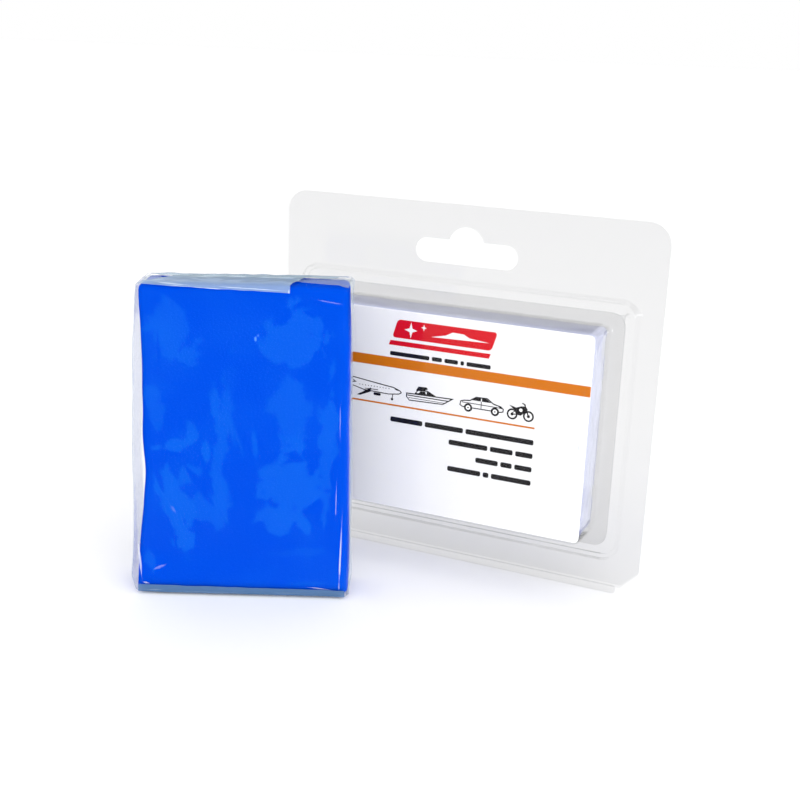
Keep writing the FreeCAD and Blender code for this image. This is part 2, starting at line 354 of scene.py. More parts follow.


# thin clear film: see-through, glossy towards grazing, with a little haze and painted white highlights along
# creases
def filmMaterial(name, glints, haze, rim, smoky, sheen=0.002, facetSize=150.0, bumpDeep=0.00025,
                 veilColour=(0.50, 0.60, 0.70, 1.0), paintedGlow=0.0):
    made, tree = newMaterial(name)
    coords = addNode(tree, "ShaderNodeTexCoord")
    ripple = useGroup(tree, rippleGroup, {"Facet": facetSize, "Wave": 90.0})
    tree.links.new(coords.outputs["Object"], ripple.inputs["Vector"])
    bump = addNode(tree, "ShaderNodeBump", {"Strength": 0.5, "Distance": bumpDeep})
    tree.links.new(ripple.outputs[0], bump.inputs["Height"])
    gloss = addNode(tree, "ShaderNodeBsdfPrincipled",
                    {"Base Color": (0.74, 0.80, 0.85, 1.0), "Metallic": 1.0, "Roughness": 0.1})
    # the veil's emission is a painted glow, no lamp
    veil = addNode(tree, "ShaderNodeBsdfPrincipled",
                   {"Base Color": veilColour, "Roughness": 0.5, "Specular IOR Level": 0.0,
                    "Emission Color": veilColour, "Emission Strength": paintedGlow})
    clear = addNode(tree, "ShaderNodeBsdfPrincipled",
                    {"Base Color": (0.95, 0.97, 1.0, 1.0), "Roughness": 0.5, "Specular IOR Level": 0.0,
                     "Alpha": 0.0})
    for shader in (gloss, veil, clear):
        tree.links.new(bump.outputs[0], shader.inputs["Normal"])
    paintedCreaseLight = None
    for x, y, z, w, d, h, turned, strength in glints:
        blot = useGroup(tree, blotGroup,
                        {"Centre": (x * mm, y * mm, z * mm), "Size": (w * mm, d * mm, h * mm),
                                          "Turn": math.radians(turned), "Ragged": 0.35, "Edge": 0.5})
        tree.links.new(coords.outputs["Object"], blot.inputs["Vector"])
        part = math2(tree, "MULTIPLY", blot.outputs[0], strength)
        paintedCreaseLight = part if paintedCreaseLight is None else math2(tree, "MAXIMUM", paintedCreaseLight, part)
    # the glint masks paint white highlights into the clear part through its Alpha
    if paintedCreaseLight is not None:
        tree.links.new(paintedCreaseLight, clear.inputs["Alpha"])
    facing = addNode(tree, "ShaderNodeLayerWeight", {"Blend": 0.5})
    steep = math2(tree, "POWER", facing.outputs["Facing"], 4.0)
    share = math2(tree, "ADD", sheen, math2(tree, "MULTIPLY", steep, rim), clamp=True)
    soft = math2(tree, "POWER", facing.outputs["Facing"], 2.4)
    milky = math2(tree, "ADD", haze, math2(tree, "MULTIPLY", soft, smoky), clamp=True)
    body = addNode(tree, "ShaderNodeMixShader")
    tree.links.new(milky, body.inputs[0])
    tree.links.new(clear.outputs[0], body.inputs[1])
    tree.links.new(veil.outputs[0], body.inputs[2])
    whole = addNode(tree, "ShaderNodeMixShader")
    tree.links.new(share, whole.inputs[0])
    tree.links.new(body.outputs[0], whole.inputs[1])
    tree.links.new(gloss.outputs[0], whole.inputs[2])
    out = addNode(tree, "ShaderNodeOutputMaterial")
    tree.links.new(whole.outputs[0], out.inputs["Surface"])
    return made


film = filmMaterial("clearFilm", filmLook["glints"], 0.0, 0.6, 0.6)
foldedFilm = filmMaterial("foldedFilm", filmLook["lipGlints"], 0.5, 0.6, 0.3, 0.02, 260.0,
                          0.0003, (0.34, 0.48, 0.60, 1.0))
# the foot's dark veil colour is painted shade: the film over the shaded blue under the bar
shadedFootFilm = filmMaterial("shadedFootFilm", filmLook["footGlints"], 0.86, 0.3, 0.1, 0.01, 260.0,
                        0.0003, (0.08, 0.16, 0.30, 1.0))
# the packed bar's film gets a painted glow, light that lifts its shade inside the pocket
packedFilm = filmMaterial("packedFilm", [], 0.68, 0.6, 0.0, 0.02, 150.0, 0.0002,
                          (0.82, 0.84, 0.98, 1.0), 0.22)

sheetLook = {
    # one face of a wall, and a whole thin wall: what passes, gloss straight on, gloss towards grazing
    "face": ((0.949, 0.949, 0.95, 1.0), 0.008, 0.40),
    "wall": ((0.90, 0.90, 0.902, 1.0), 0.014, 0.75),
    "gloss": (0.88, 0.88, 0.886, 1.0),
}


def sheetMaterial(name, passes, flat, rim):
    made, tree = newMaterial(name)
    coords = addNode(tree, "ShaderNodeTexCoord")
    ripple = useGroup(tree, rippleGroup, {"Facet": 14.0, "Wave": 22.0})
    tree.links.new(coords.outputs["Object"], ripple.inputs["Vector"])
    bump = addNode(tree, "ShaderNodeBump", {"Strength": 0.25, "Distance": 0.0006})
    tree.links.new(ripple.outputs[0], bump.inputs["Height"])
    sheet = addNode(tree, "ShaderNodeBsdfPrincipled",
                    {"Base Color": sheetLook["gloss"], "Metallic": 1.0, "Roughness": 0.045})
    tree.links.new(bump.outputs[0], sheet.inputs["Normal"])
    passing = addNode(tree, "ShaderNodeBsdfTransparent", {"Color": passes})
    facing = addNode(tree, "ShaderNodeLayerWeight", {"Blend": 0.5})
    steep = math2(tree, "POWER", facing.outputs["Facing"], 2.6)
    share = math2(tree, "ADD", flat, math2(tree, "MULTIPLY", steep, rim), clamp=True)
    whole = addNode(tree, "ShaderNodeMixShader")
    tree.links.new(share, whole.inputs[0])
    tree.links.new(passing.outputs[0], whole.inputs[1])
    tree.links.new(sheet.outputs[0], whole.inputs[2])
    out = addNode(tree, "ShaderNodeOutputMaterial")
    tree.links.new(whole.outputs[0], out.inputs["Surface"])
    return made


clearSheet = sheetMaterial("clearFormedSheet", *sheetLook["face"])
clearCover = sheetMaterial("clearCoverSheet", *sheetLook["wall"])


def printMaterial(name, ink, gloss=0.35, mottle=0.04):
    made, tree = newMaterial(name)
    coords = addNode(tree, "ShaderNodeTexCoord")
    drift = useGroup(tree, driftGroup, {"Broad": 60.0, "Fine": 2600.0})
    tree.links.new(coords.outputs["Object"], drift.inputs["Vector"])
    darker = tuple(c * (1 - 2 * mottle) for c in ink[:3]) + (1.0,)
    colour = mixColour(tree, drift.outputs["Fine"], darker, ink)
    paint = addNode(tree, "ShaderNodeBsdfPrincipled", {"Roughness": gloss, "Specular IOR Level": 0.12})
    tree.links.new(colour, paint.inputs["Base Color"])
    rough = math2(tree, "ADD", gloss - 0.06, math2(tree, "MULTIPLY", drift.outputs["Broad"], 0.14))
    tree.links.new(rough, paint.inputs["Roughness"])
    bump = addNode(tree, "ShaderNodeBump", {"Strength": 0.12, "Distance": 0.00005})
    tree.links.new(drift.outputs["Fine"], bump.inputs["Height"])
    tree.links.new(bump.outputs[0], paint.inputs["Normal"])
    out = addNode(tree, "ShaderNodeOutputMaterial")
    tree.links.new(paint.outputs[0], out.inputs["Surface"])
    return made


cardWhite = printMaterial("cardWhite", (0.96, 0.96, 0.962, 1.0), 0.4, 0.01)
inkOrange = printMaterial("inkOrange", (0.68, 0.185, 0.002, 1.0))
inkRed = printMaterial("inkRed", (0.72, 0.006, 0.016, 1.0))
inkBlack = printMaterial("inkBlack", (0.012, 0.011, 0.012, 1.0), 0.4, 0.1)
inkWhite = printMaterial("inkWhite", (0.96, 0.96, 0.962, 1.0), 0.4, 0.01)
print("materials made")

claySlab = {"w": 57.6, "t": 14.4, "low": 0.95, "high": 87.2, "round": 1.6, "wave": 0.3}
# soft bar sits a little wider at its foot
barSettle = {"right": 1.7, "left": 1.5, "rise": 1.2, "swell": 1.5, "foot": 1.3}


# lets the soft bar lean out at the foot and rise at its right shoulder
def settle(bm, amount):
    for v in bm.verts:
        x, y, z = v.co
        up, across = z / 88.0, x / 29.0
        if x > 0:
            v.co.x += amount * barSettle["right"] * (1 - up) * min(1.0, across)
        else:
            v.co.x += amount * barSettle["left"] * up * min(1.0, -across)
        v.co.z += amount * up * (barSettle["swell"] + barSettle["rise"] * smooth01(-1.3, 1.1, across))
        if y < 0:
            v.co.y -= amount * barSettle["foot"] * smooth01(14, 1, z) * smooth01(1.1, -0.9, across)


def clayBlock(name, node, place, body, seed, amount):
    bm = bmesh.new()
    made = bmesh.ops.create_cube(bm, size=1.0)["verts"]
    tall = claySlab["high"] - claySlab["low"]
    bmesh.ops.scale(bm, vec=(claySlab["w"], claySlab["t"], tall), verts=made)
    bmesh.ops.translate(bm, vec=(0, 0, claySlab["low"] + tall / 2), verts=made)
    bmesh.ops.bevel(bm, geom=list(bm.edges), offset=claySlab["round"], offset_type="OFFSET", segments=4,
                    profile=0.5, affect="EDGES", material=-1)
    for axis, span, step in ((0, claySlab["w"] / 2, 1.6), (2, tall, 1.6)):
        at = -span + step if axis == 0 else claySlab["low"] + step
        end = span if axis == 0 else claySlab["high"]
        normal = Vector((1, 0, 0)) if axis == 0 else Vector((0, 0, 1))
        while at < end - 0.5:
            geom = list(bm.verts) + list(bm.edges) + list(bm.faces)
            bmesh.ops.bisect_plane(bm, geom=geom, dist=1e-5, plane_co=normal * at, plane_no=normal)
            at += step
    for v in bm.verts:
        x, y, z = v.co
        side = smooth01(20, 29, abs(x)) * (1 if x > 0 else -1)
        v.co.x += side * claySlab["wave"] * wobble(0, y * 0.3, z, 9.0, seed + 3)
        if x < 0:
            inward = smooth01(86, 66, z) * smooth01(4, 34, z) - 0.35 * smooth01(26, 6, z)
            v.co.x += 1.5 * -side * inward * (0.75 + 0.5 * wobble(0, 0, z, 16.0, seed + 5))
        else:
            v.co.x += 0.5 * side * smooth01(82, 66, z)
        end = smooth01(80, 86, z) - smooth01(8, 3, z)
        v.co.z += end * 0.25 * wobble(x, 0, 0, 12.0, seed + 7)
        v.co.y += (1 if y > 0 else -1) * smooth01(3, 7, abs(y)) * 0.1 * wobble(x, 0, z, 8.0, seed)
    settle(bm, amount)
    return newPiece(name, bm, place, body, [clayMaterial], [node])


filmWrap = {"w": 58.7, "t": 15.3, "round": 1.7, "low": 0.15, "high": 87.9, "rows": 96, "endRound": 0.9}


def filmSleeve(name, node, place, body, seed, puff, amount, material):
    bm = bmesh.new()
    w, t, r = filmWrap["w"], filmWrap["t"], filmWrap["round"]
    edges = roundedLoop(bm, w, t, r, 5, upright=False, at=(0, 0, filmWrap["low"]), cuts=(58, 14))
    step = (filmWrap["high"] - filmWrap["low"]) / filmWrap["rows"]
    for k in range(filmWrap["rows"]):
        made = bmesh.ops.extrude_edge_only(bm, edges=edges)["geom"]
        verts = [g for g in made if isinstance(g, bmesh.types.BMVert)]
        edges = [g for g in made if isinstance(g, bmesh.types.BMEdge)]
        bmesh.ops.translate(bm, vec=(0, 0, step), verts=verts)
    coreX, coreY = w / 2 - r, t / 2 - r
    for v in bm.verts:
        x, y, z = v.co
        inner = Vector((max(-coreX, min(coreX, x)), max(-coreY, min(coreY, y)), z))
        outward = (v.co - inner).normalized()
        flat = abs(outward.y)
        edge = smooth01(22, 29, abs(x))
        ends = smooth01(74, 87, z) + smooth01(13, 1, z)
        out = (0.12 + 0.2 * ends) * crumple(x, y, z, 13.0, seed)
        out += 0.22 * max(0.0, wobble(x, y, z * 0.5, 10.0, seed + 2)) * (0.5 + ends)
        out += 0.30 * edge * flat * max(0.0, wobble(x * 2, y, z * 0.35, 9.0, seed + 9) + 0.15)
        side = smooth01(0.2, 0.95, -outward.x)
        slack = puff * side * (0.7 + 0.4 * wobble(0, y * 0.4, z, 24.0, seed + 11))
        out += slack * smooth01(0, 6, z) * smooth01(89, 70, z)  # held at both ends
        out += 0.35 * smooth01(0.2, 0.95, outward.x) * (0.6 + wobble(0, y, z, 15.0, seed + 13))
        for gap in (z - filmWrap["low"], filmWrap["high"] - z):
            if gap < filmWrap["endRound"]:
                part = 1 - gap / filmWrap["endRound"]
                out -= filmWrap["endRound"] * (1 - math.sqrt(max(0.0, 1 - part * part)))
        v.co += outward * max(out, -filmWrap["endRound"])
    settle(bm, amount)
    if not amount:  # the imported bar's broad face shows its clay to the back cover
        for f in bm.faces:
            middle = f.calc_center_median()
            f.material_index = 1 if middle.y > t / 2 - 0.2 and abs(middle.x) < w / 2 - 3 else 0
    return newPiece(name, bm, place, body, [material, film], [node], angle=70)


# folded-over end flap: hinged on the front (side -1) or back (side 1) edge, crinkled
def flapSheet(name, node, place, body, seed, side, high, nearX, farX, reach, material, amount,
              lip=None, up=1):
    bm = bmesh.new()
    made = bmesh.ops.create_grid(bm, x_segments=72, y_segments=22, size=1.0)["verts"]
    nearY = side * filmWrap["t"] / 2
    left, right = nearX
    farLeft, farRight = farX
    wide, farWide = right - left, farRight - farLeft
    for v in made:
        u, along = (v.co.x + 1) / 2, (v.co.y + 1) / 2
        if lip:
            along = along * (1 + lip["share"]) - lip["share"]
        deep = max(0.0, along)
        x = left + (farLeft - left) * deep + u * (wide + (farWide - wide) * deep)
        if along >= 0:
            y = nearY - side * reach * along
            crinkle = 0.22 * crumple(x, y, 0, 6.0, seed) * smooth01(0.0, 0.2, along)
            z = high + crinkle - 0.35 * (1 - smooth01(0, 0.1, along))
            z += 0.12 * wobble(x, y, 0, 3.0, seed)
        else:
            drop = lip["short"] + (lip["long"] - lip["short"]) * u + 0.12 * wobble(x, 0, 0, 4.0, seed)
            hang = -along / lip["share"]
            stand = 0.2 + 0.28 * smooth01(0, 0.5, hang) + 0.12 * crumple(x, hang * 9, 0, 5.0, seed)
            y = nearY + side * stand
            z = high - 0.35 - hang * drop
        v.co = (x, y, z if up > 0 else endHigh - z)
    bmesh.ops.recalc_face_normals(bm, faces=bm.faces)
    settle(bm, amount)
    return newPiece(name, bm, place, body, [material], [node], angle=60)


def wrappedBar(prefix, place, body, seed, puff, amount, sleeve, folds):
    clayBlock(prefix + "clay", prefix + "clay_block", place, body, seed, amount)
    filmSleeve(prefix + "sleeve", prefix + "film_sleeve", place, body, seed, puff, amount, sleeve)
    # lap seam down the back
    bm = bmesh.new()
    made = bmesh.ops.create_grid(bm, x_segments=8, y_segments=70, size=1.0)["verts"]
    for v in made:
        x, z = v.co.x * 4.5 + 0.25 * wobble(v.co.y * 40, 0, 0, 9.0, seed), 44.1 + v.co.y * 41.5
        v.co = (x, filmWrap["t"] / 2 + 0.42 + 0.08 * crumple(x, 0, z, 6.0, seed), z)
    bmesh.ops.recalc_face_normals(bm, faces=bm.faces)
    settle(bm, amount)
    newPiece(prefix + "lapSeam", bm, place, body, [folds], [prefix + "film_lap_seam"])
    near = filmWrap["w"] / 2 - 0.9
    for end, up in (("top", 1), ("bottom", -1)):
        for label, s in (("left", -1), ("right", 1)):
            bm = bmesh.new()
            made = bmesh.ops.create_grid(bm, x_segments=12, y_segments=12, size=1.0)["verts"]
            tuckDeep = 15.0 if amount and s > 0 else 6.0
            for v in made:
                along = (v.co.x + 1) / 2
                x = s * (filmWrap["w"] / 2 - 0.5 - tuckDeep * along)
                y = v.co.y * (6.6 - 5.0 * along)
                z = 87.5 + 0.15 * crumple(x, y, 0, 5.0, seed + 4) - 0.4 * smooth01(0.2, 0, along)
                v.co = (x, y, z if up > 0 else endHigh - z)
            bmesh.ops.recalc_face_normals(bm, faces=bm.faces)
            settle(bm, amount)
            newPiece(prefix + end + label.capitalize() + "Tuck", bm, place, body, [sleeve],
                     ["%s%s_%s_tuck" % (prefix, end, label)])
        flapSheet(prefix + end + "InnerFlap", "%s%s_inner_flap" % (prefix, end), place, body, seed + 1, 1,
                  87.75, (-near, near), (5.0 - near, near - 5.0), 5.2 if amount else 12.7, folds, amount,
                  None, up)
        lip, width, sheet = {"share": 0.3, "short": 0.1, "long": 2.0}, (-near, 13.4), folds
        if up < 0:
            lip, width = {"share": 0.3, "short": 2.3, "long": 2.0}, (-near, near)
            sheet = shadedFootFilm if amount else folds
        flapSheet(prefix + end + "OuterFlap", "%s%s_outer_flap" % (prefix, end), place, body, seed + 2, -1,
                  88.0, width, (10.5 - near, near - 10.5), 12.7, sheet, amount, lip, up)


wrappedBar("", barPlace, "clay_bar", 1.7, 1.5, 1.0, film, foldedFilm)
print("loose bar made")
wrappedBar("packed_", packedPlace, "pack_front", 8.3, 0.3, 0.0, packedFilm, packedFilm)
print("packed bar made")

packForm = {
    "sheet": 0.4, "corner": 6.5, "chamfer": 5.0,
    "slotW": 31.75, "slotH": 7.1, "archR": 5.6, "archRise": 2.0, "slotDrop": 14.0,
    "stepW": 105.0, "stepH": 76.4, "stepR": 5.0, "stepZ": 49.1, "stepRise": 3.0, "draft": 0.5,
    "pocketW": 90.5, "pocketH": 61.1, "pocketR": 2.4, "pocketZ": 49.9, "pocketDraft": 0.6,
    "plugW": 103.4, "plugH": 74.8, "plugR": 4.2, "ridgeW": 3.2,
}
halfW = shellHigh.x
flangeLow, flangeTop = shellLow.z, shellHigh.z


# flange outline: round top corners, cut bottom corners
def flangeLoop(bm, y, low):
    w, top, r, c = halfW, flangeTop, packForm["corner"], packForm["chamfer"]
    made = bmesh.ops.create_grid(bm, x_segments=1, y_segments=1, size=0.5)["verts"]
    bmesh.ops.scale(bm, vec=(2 * w, top - low, 1), verts=made)
    bmesh.ops.translate(bm, vec=(0, (top + low) / 2, 0), verts=made)
    upper = [v for v in made if v.co.y > 40]
    lower = [v for v in made if v.co.y < 40]
    bmesh.ops.bevel(bm, geom=upper, offset=r, offset_type="OFFSET", segments=10, profile=0.5,
                    affect="VERTICES", material=-1)
    bmesh.ops.bevel(bm, geom=lower, offset=c, offset_type="OFFSET", segments=1, profile=0.5,
                    affect="VERTICES", material=-1)
    face = max(bm.faces, key=lambda f: len(f.verts))
    verts, edges = list(face.verts), list(face.edges)
    bmesh.ops.delete(bm, geom=[face], context="FACES_ONLY")
    bmesh.ops.rotate(bm, cent=(0, 0, 0), matrix=Matrix.Rotation(math.radians(90), 3, "X"), verts=verts)
    bmesh.ops.translate(bm, vec=(0, y, 0), verts=verts)
    return edges


# wide hook slot with a raised middle
def slotLoop(bm, y):
    p = packForm
    z, r, reach = flangeTop - p["slotDrop"], p["slotH"] / 2, p["slotW"] / 2 - p["slotH"] / 2
    half = math.sqrt(p["archR"] ** 2 - (r - p["archRise"]) ** 2)
    points = []
    for k in range(13):  # right end
        a = math.radians(-90 + 15 * k)
        points.append((reach + r * math.cos(a), z + r * math.sin(a)))
    first = math.asin((r - p["archRise"]) / p["archR"])
    for k in range(13):  # arch, right to left
        a = first + (math.pi - 2 * first) * k / 12
        points.append((p["archR"] * math.cos(a), z + p["archRise"] + p["archR"] * math.sin(a)))
    for k in range(13):  # left end
        a = math.radians(90 + 15 * k)
        points.append((-reach + r * math.cos(a), z + r * math.sin(a)))
    verts = [bm.verts.new((x, y, h)) for x, h in points]
    return [bm.edges.new((verts[k], verts[(k + 1) % len(verts)])) for k in range(len(verts))]


def ringLoop(bm, w, h, r, y, z):
    return roundedLoop(bm, w, h, r, 8, at=(0, y, z))


def sharpRound(bm, loop, radius, segments=4):
    bmesh.ops.bevel(bm, geom=loop, offset=radius, offset_type="OFFSET", segments=segments, profile=0.5,
                    affect="EDGES", material=-1, clamp_overlap=True)


def frontShell():
    p = packForm
    y0 = -p["sheet"]
    bm = bmesh.new()
    outer = flangeLoop(bm, y0, flangeLow)
    slot = slotLoop(bm, y0)
    stepBase = ringLoop(bm, p["stepW"] + 2 * p["draft"], p["stepH"] + 2 * p["draft"], p["stepR"] + p["draft"],
                        y0, p["stepZ"])
    bmesh.ops.triangle_fill(bm, use_beauty=True, use_dissolve=False, edges=outer + slot + stepBase)
    yStep = y0 - p["stepRise"]
    stepTop = ringLoop(bm, p["stepW"], p["stepH"], p["stepR"], yStep, p["stepZ"])
    bmesh.ops.bridge_loops(bm, edges=stepBase + stepTop)
    depth = -shellLow.y
    share = 1 - (p["stepRise"] + p["sheet"]) / depth
    grow = 2 * p["pocketDraft"] * share
    pocketBase = ringLoop(bm, p["pocketW"] + grow, p["pocketH"] + grow, p["pocketR"] + grow / 2, yStep,
                          p["pocketZ"])
    bmesh.ops.triangle_fill(bm, use_beauty=True, use_dissolve=False, edges=stepTop + pocketBase)
    pocketFront = ringLoop(bm, p["pocketW"], p["pocketH"], p["pocketR"], -depth, p["pocketZ"])
    bmesh.ops.bridge_loops(bm, edges=pocketBase + pocketFront)
    bmesh.ops.contextual_create(bm, geom=pocketFront)
    sharpRound(bm, pocketFront, 1.3, 5)
    sharpRound(bm, pocketBase, 0.8)
    sharpRound(bm, stepTop, 1.0)
    sharpRound(bm, stepBase, 0.7)
    bmesh.ops.recalc_face_normals(bm, faces=bm.faces)
    facing = sum(f.normal.y * f.calc_area() for f in bm.faces)
    if facing > 0:
        bmesh.ops.reverse_faces(bm, faces=bm.faces)
    return newPiece("frontShell", bm, packPlace, "pack_front", [clearSheet], ["front_shell"],
                    angle=50,
                    finish=[("SOLIDIFY",
                             {"thickness": p["sheet"] * mm, "offset": -1.0, "use_even_offset": True}),
                            ("WEIGHTED_NORMAL", {"keep_sharp": True})])


def backShell():
    p = packForm
    low, high = cadSpan("back_shell", packPlace)
    y1 = high.y
    bm = bmesh.new()
    outer = flangeLoop(bm, y1, low.z)
    slot = slotLoop(bm, y1)
    wide = p["plugW"] - 2 * p["sheet"]
    tall = p["plugH"] - 2 * p["sheet"]
    grooveOut = ringLoop(bm, wide + 0.6, tall + 0.6, p["plugR"], y1, p["stepZ"])
    bmesh.ops.triangle_fill(bm, use_beauty=True, use_dissolve=False, edges=outer + slot + grooveOut)
    deep = low.y + p["sheet"]
    floorOut = ringLoop(bm, wide, tall, p["plugR"] - 0.3, deep, p["stepZ"])
    bmesh.ops.bridge_loops(bm, edges=grooveOut + floorOut)
    inset = 2 * p["ridgeW"] - 4 * p["sheet"]
    floorIn = ringLoop(bm, wide - inset, tall - inset, p["plugR"] - 0.3, deep, p["stepZ"])
    bmesh.ops.bridge_loops(bm, edges=floorOut + floorIn)
    grooveIn = ringLoop(bm, wide - inset - 0.6, tall - inset - 0.6, p["plugR"], y1, p["stepZ"])
    bmesh.ops.bridge_loops(bm, edges=floorIn + grooveIn)
    bmesh.ops.contextual_create(bm, geom=grooveIn)
    for loop in (grooveOut, grooveIn):
        sharpRound(bm, loop, 0.6, 3)
    for loop in (floorOut, floorIn):
        sharpRound(bm, loop, 0.5, 3)
    bmesh.ops.recalc_face_normals(bm, faces=bm.faces)
    facing = sum(f.normal.y * f.calc_area() for f in bm.faces)
    if facing < 0:
        bmesh.ops.reverse_faces(bm, faces=bm.faces)
    return newPiece("backShell", bm, packPlace, "back_cover", [clearCover], ["back_shell"],
                    angle=50,
                    finish=[("WEIGHTED_NORMAL", {"keep_sharp": True})])


frontShell()
backShell()


# rolled sheet edge with rounded ends
def hingeRoll():
    low, high = cadSpan("hinge_roll", packPlace)
    bm = bmesh.new()
    r = rollAt["z"] - 0.02
    made = bmesh.ops.create_cone(bm, cap_ends=True, cap_tris=False, segments=24, radius1=r, radius2=r,
                                 depth=high.x - low.x)["verts"]
    bmesh.ops.rotate(bm, cent=(0, 0, 0), matrix=Matrix.Rotation(math.radians(90), 3, "Y"), verts=made)
    bmesh.ops.translate(bm, vec=(0, rollAt["y"], rollAt["z"]), verts=made)
    caps = [f for f in bm.faces if abs(f.normal.x) > 0.9]
    bmesh.ops.bevel(bm, geom=list({e for f in caps for e in f.edges}), offset=0.8, offset_type="OFFSET",
                    segments=4, profile=0.5, affect="EDGES", material=-1)
    return newPiece("hingeRoll", bm, packPlace, "pack_front", [clearSheet], ["hinge_roll"],
                    angle=50)


hingeRoll()
print("clear pack made")

card = frame["nodes"]["label_card"]
card.data.materials.clear()
card.data.materials.append(cardWhite)
printDepth = {"ink": 0.02, "lift": 0.01, "layer": 0.022}


# thin ink shapes on the card's face. Each shape is a ring of x, z points in mm
def printed(name, shapes, material, layer=0):
    bm = bmesh.new()
    y = cardLow.y - printDepth["lift"] - layer * printDepth["layer"]
    for ring in shapes:
        verts = [bm.verts.new((x, y, z)) for x, z in ring]
        face = bmesh.ops.contextual_create(bm, geom=verts)["faces"]
        made = bmesh.ops.extrude_face_region(bm, geom=face)["geom"]
        bmesh.ops.translate(bm, vec=(0, -printDepth["ink"], 0),
                            verts=[g for g in made if isinstance(g, bmesh.types.BMVert)])
    bmesh.ops.recalc_face_normals(bm, faces=bm.faces)
    return newPiece(name, bm, packPlace, "pack_front", [material], angle=30)


def bar(x0, x1, z0, z1, slant=0.0, r=0.0):
    if r <= 0:
        return [(x0, z0), (x1, z0), (x1 + slant, z1), (x0 + slant, z1)]
    ring = []
    for cx, cz, start in ((x1 - r, z0 + r, -90), (x1 - r, z1 - r, 0), (x0 + r, z1 - r, 90),
                          (x0 + r, z0 + r, 180)):
        for k in range(5):
            a = math.radians(start + 22.5 * k)
            x, z = cx + r * math.cos(a), cz + r * math.sin(a)
            ring.append((x + slant * (z - z0) / (z1 - z0), z))
    return ring


def disc(cx, cz, r, count=20):
    return [(cx + r * math.cos(math.tau * k / count),
             cz + r * math.sin(math.tau * k / count)) for k in range(count)]


def moved(ring, dx, dz, scale=1.0):
    return [(dx + x * scale, dz + z * scale) for x, z in ring]


# the same ring drawn in by a pen's width, for white inside a black outline
def outlined(ring, wall=0.3):
    bm = bmesh.new()
    verts = [bm.verts.new((x, z, 0)) for x, z in ring]
    face = bmesh.ops.contextual_create(bm, geom=verts)["faces"]
    bmesh.ops.recalc_face_normals(bm, faces=face)
    bmesh.ops.inset_region(bm, faces=face, thickness=wall, use_even_offset=True, use_boundary=True)
    inner = max((f for f in bm.faces if len(f.verts) == len(ring)), key=lambda f: f.calc_area())
    points = [(v.co.x, v.co.y) for v in inner.verts]
    bm.free()
    return points


def stroke(x0, z0, x1, z1, wide=0.22):
    run = Vector((x1 - x0, z1 - z0)).normalized() * wide / 2
    return [(x0 - run.y, z0 + run.x), (x0 + run.y, z0 - run.x), (x1 + run.y, z1 - run.x),
            (x1 - run.y, z1 + run.x)]


edgeX = cardHigh.x
cardTop = cardHigh.z
cardLayout = {
    # all in mm, down from the card's top edge or across from its middle
    "band": 14.0, "bandTall": 3.0, "rule": 28.5, "ruleTall": 0.5, "margin": 29.5,
    "strap": 12.75, "strapHalf": 15.5, "firstLine": 32.5, "linePitch": 4.0, "letterTall": 1.5, "wordGap": 0.8,
    "drawings": 24.0, "drawingPitch": 16.0,
}
printed("cardBand", [bar(-edgeX + 0.05, edgeX - 0.05, cardTop - cardLayout["band"] - cardLayout["bandTall"],
                         cardTop - cardLayout["band"])], inkOrange)
printed("cardRule", [bar(-edgeX + 0.05, cardLayout["margin"], cardTop - cardLayout["rule"],
                         cardTop - cardLayout["rule"] + cardLayout["ruleTall"])], inkOrange)
# plain badge: a red slanted tablet with a white sparkle and sweep, and a red underline
printed("cardBadge", [bar(-15.0, 15.4, cardTop - 8.0, cardTop - 2.6, 1.6, 1.0),
                      bar(-16.0, 14.8, cardTop - 10.3, cardTop - 8.9, 0.5)], inkRed)
star = [(0, 2.3), (0.45, 0.55), (2.0, 0), (0.45, -0.55), (0, -2.3), (-0.45, -0.55), (-2.0, 0), (-0.45, 0.55)]
sweep = [(-8, -1.1), (9.5, -0.6), (3.6, 0.0), (1.8, 0.9), (-1.6, 1.0), (-3.6, -0.1)]
printed("cardBadgeMark", [moved(star, -9.2, cardTop - 5.3), moved(star, -5.2, cardTop - 4.1, 0.45),
                          moved(sweep, 5.2, cardTop - 5.3)], inkWhite, 1)


# one line of dashes where wording goes, each word as long as its letters, ending at the right
def dashLine(words, right, wide, drop, tall):
    unit = (wide - cardLayout["wordGap"] * (len(words) - 1)) / sum(words)
    middle = cardTop - drop
    at = right - wide
    line = []
    for word in words:
        line.append(bar(at, at + unit * word, middle - tall / 2, middle + tall / 2, 0, tall * 0.3))
        at += unit * word + cardLayout["wordGap"]
    return line


letterWide = 1.7
dashes = dashLine((12, 3, 4, 1, 7), cardLayout["strapHalf"], 2 * cardLayout["strapHalf"],
                  cardLayout["strap"], 1.2)
for k, words in enumerate(((6, 7, 12), (7, 4, 3), (4, 2, 3), (6, 1, 7))):
    long = letterWide * sum(words) + cardLayout["wordGap"] * (len(words) - 1)
    dashes += dashLine(words, cardLayout["margin"], long,
                       cardLayout["firstLine"] + k * cardLayout["linePitch"],
                       cardLayout["letterTall"])
printed("cardDashes", dashes, inkBlack)

